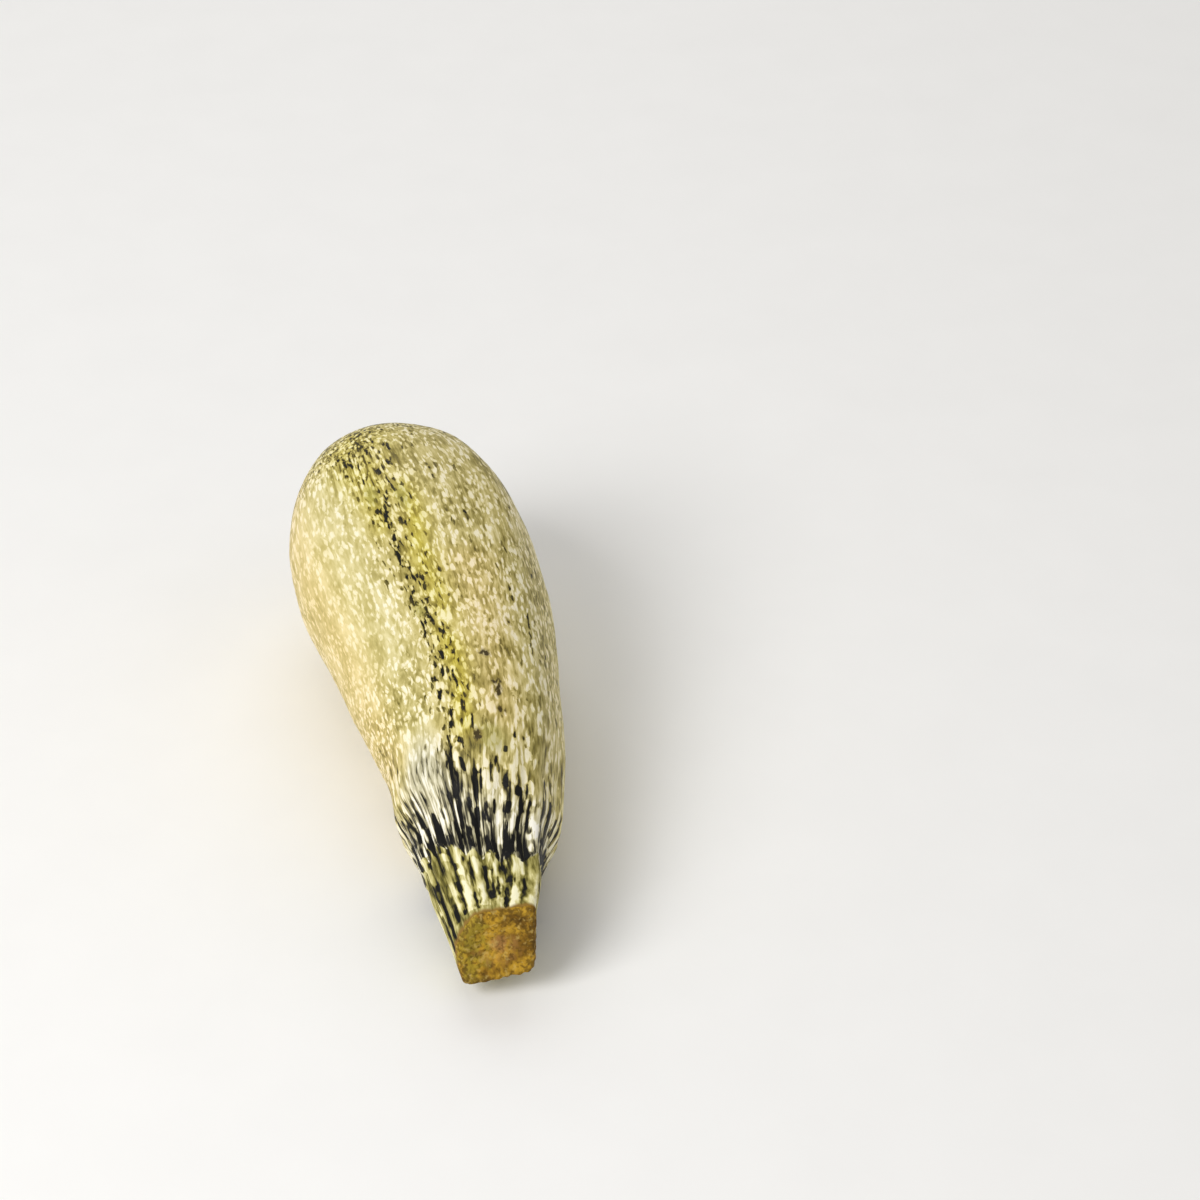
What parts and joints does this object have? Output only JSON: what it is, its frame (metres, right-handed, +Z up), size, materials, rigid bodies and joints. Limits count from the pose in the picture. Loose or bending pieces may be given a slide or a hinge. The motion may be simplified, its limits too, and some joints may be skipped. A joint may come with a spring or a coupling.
{
  "type": "zucchini",
  "caption": "Pale green speckled zucchini, widest near its blossom end, with a short ribbed stem cut at a slant, resting on its side.",
  "frame": {"origin": "on the surface that the fruit rests on, under the middle of its box", "axes": "+X along the fruit from the blossom end to the cut stem, +Z up"},
  "size_m": [0.16, 0.0558, 0.0558],
  "materials": {
    "zucchini_skin": "satin"
  },
  "bodies": {
    "root": {"zucchini": "zucchini_skin"}
  },
  "joints": []
}
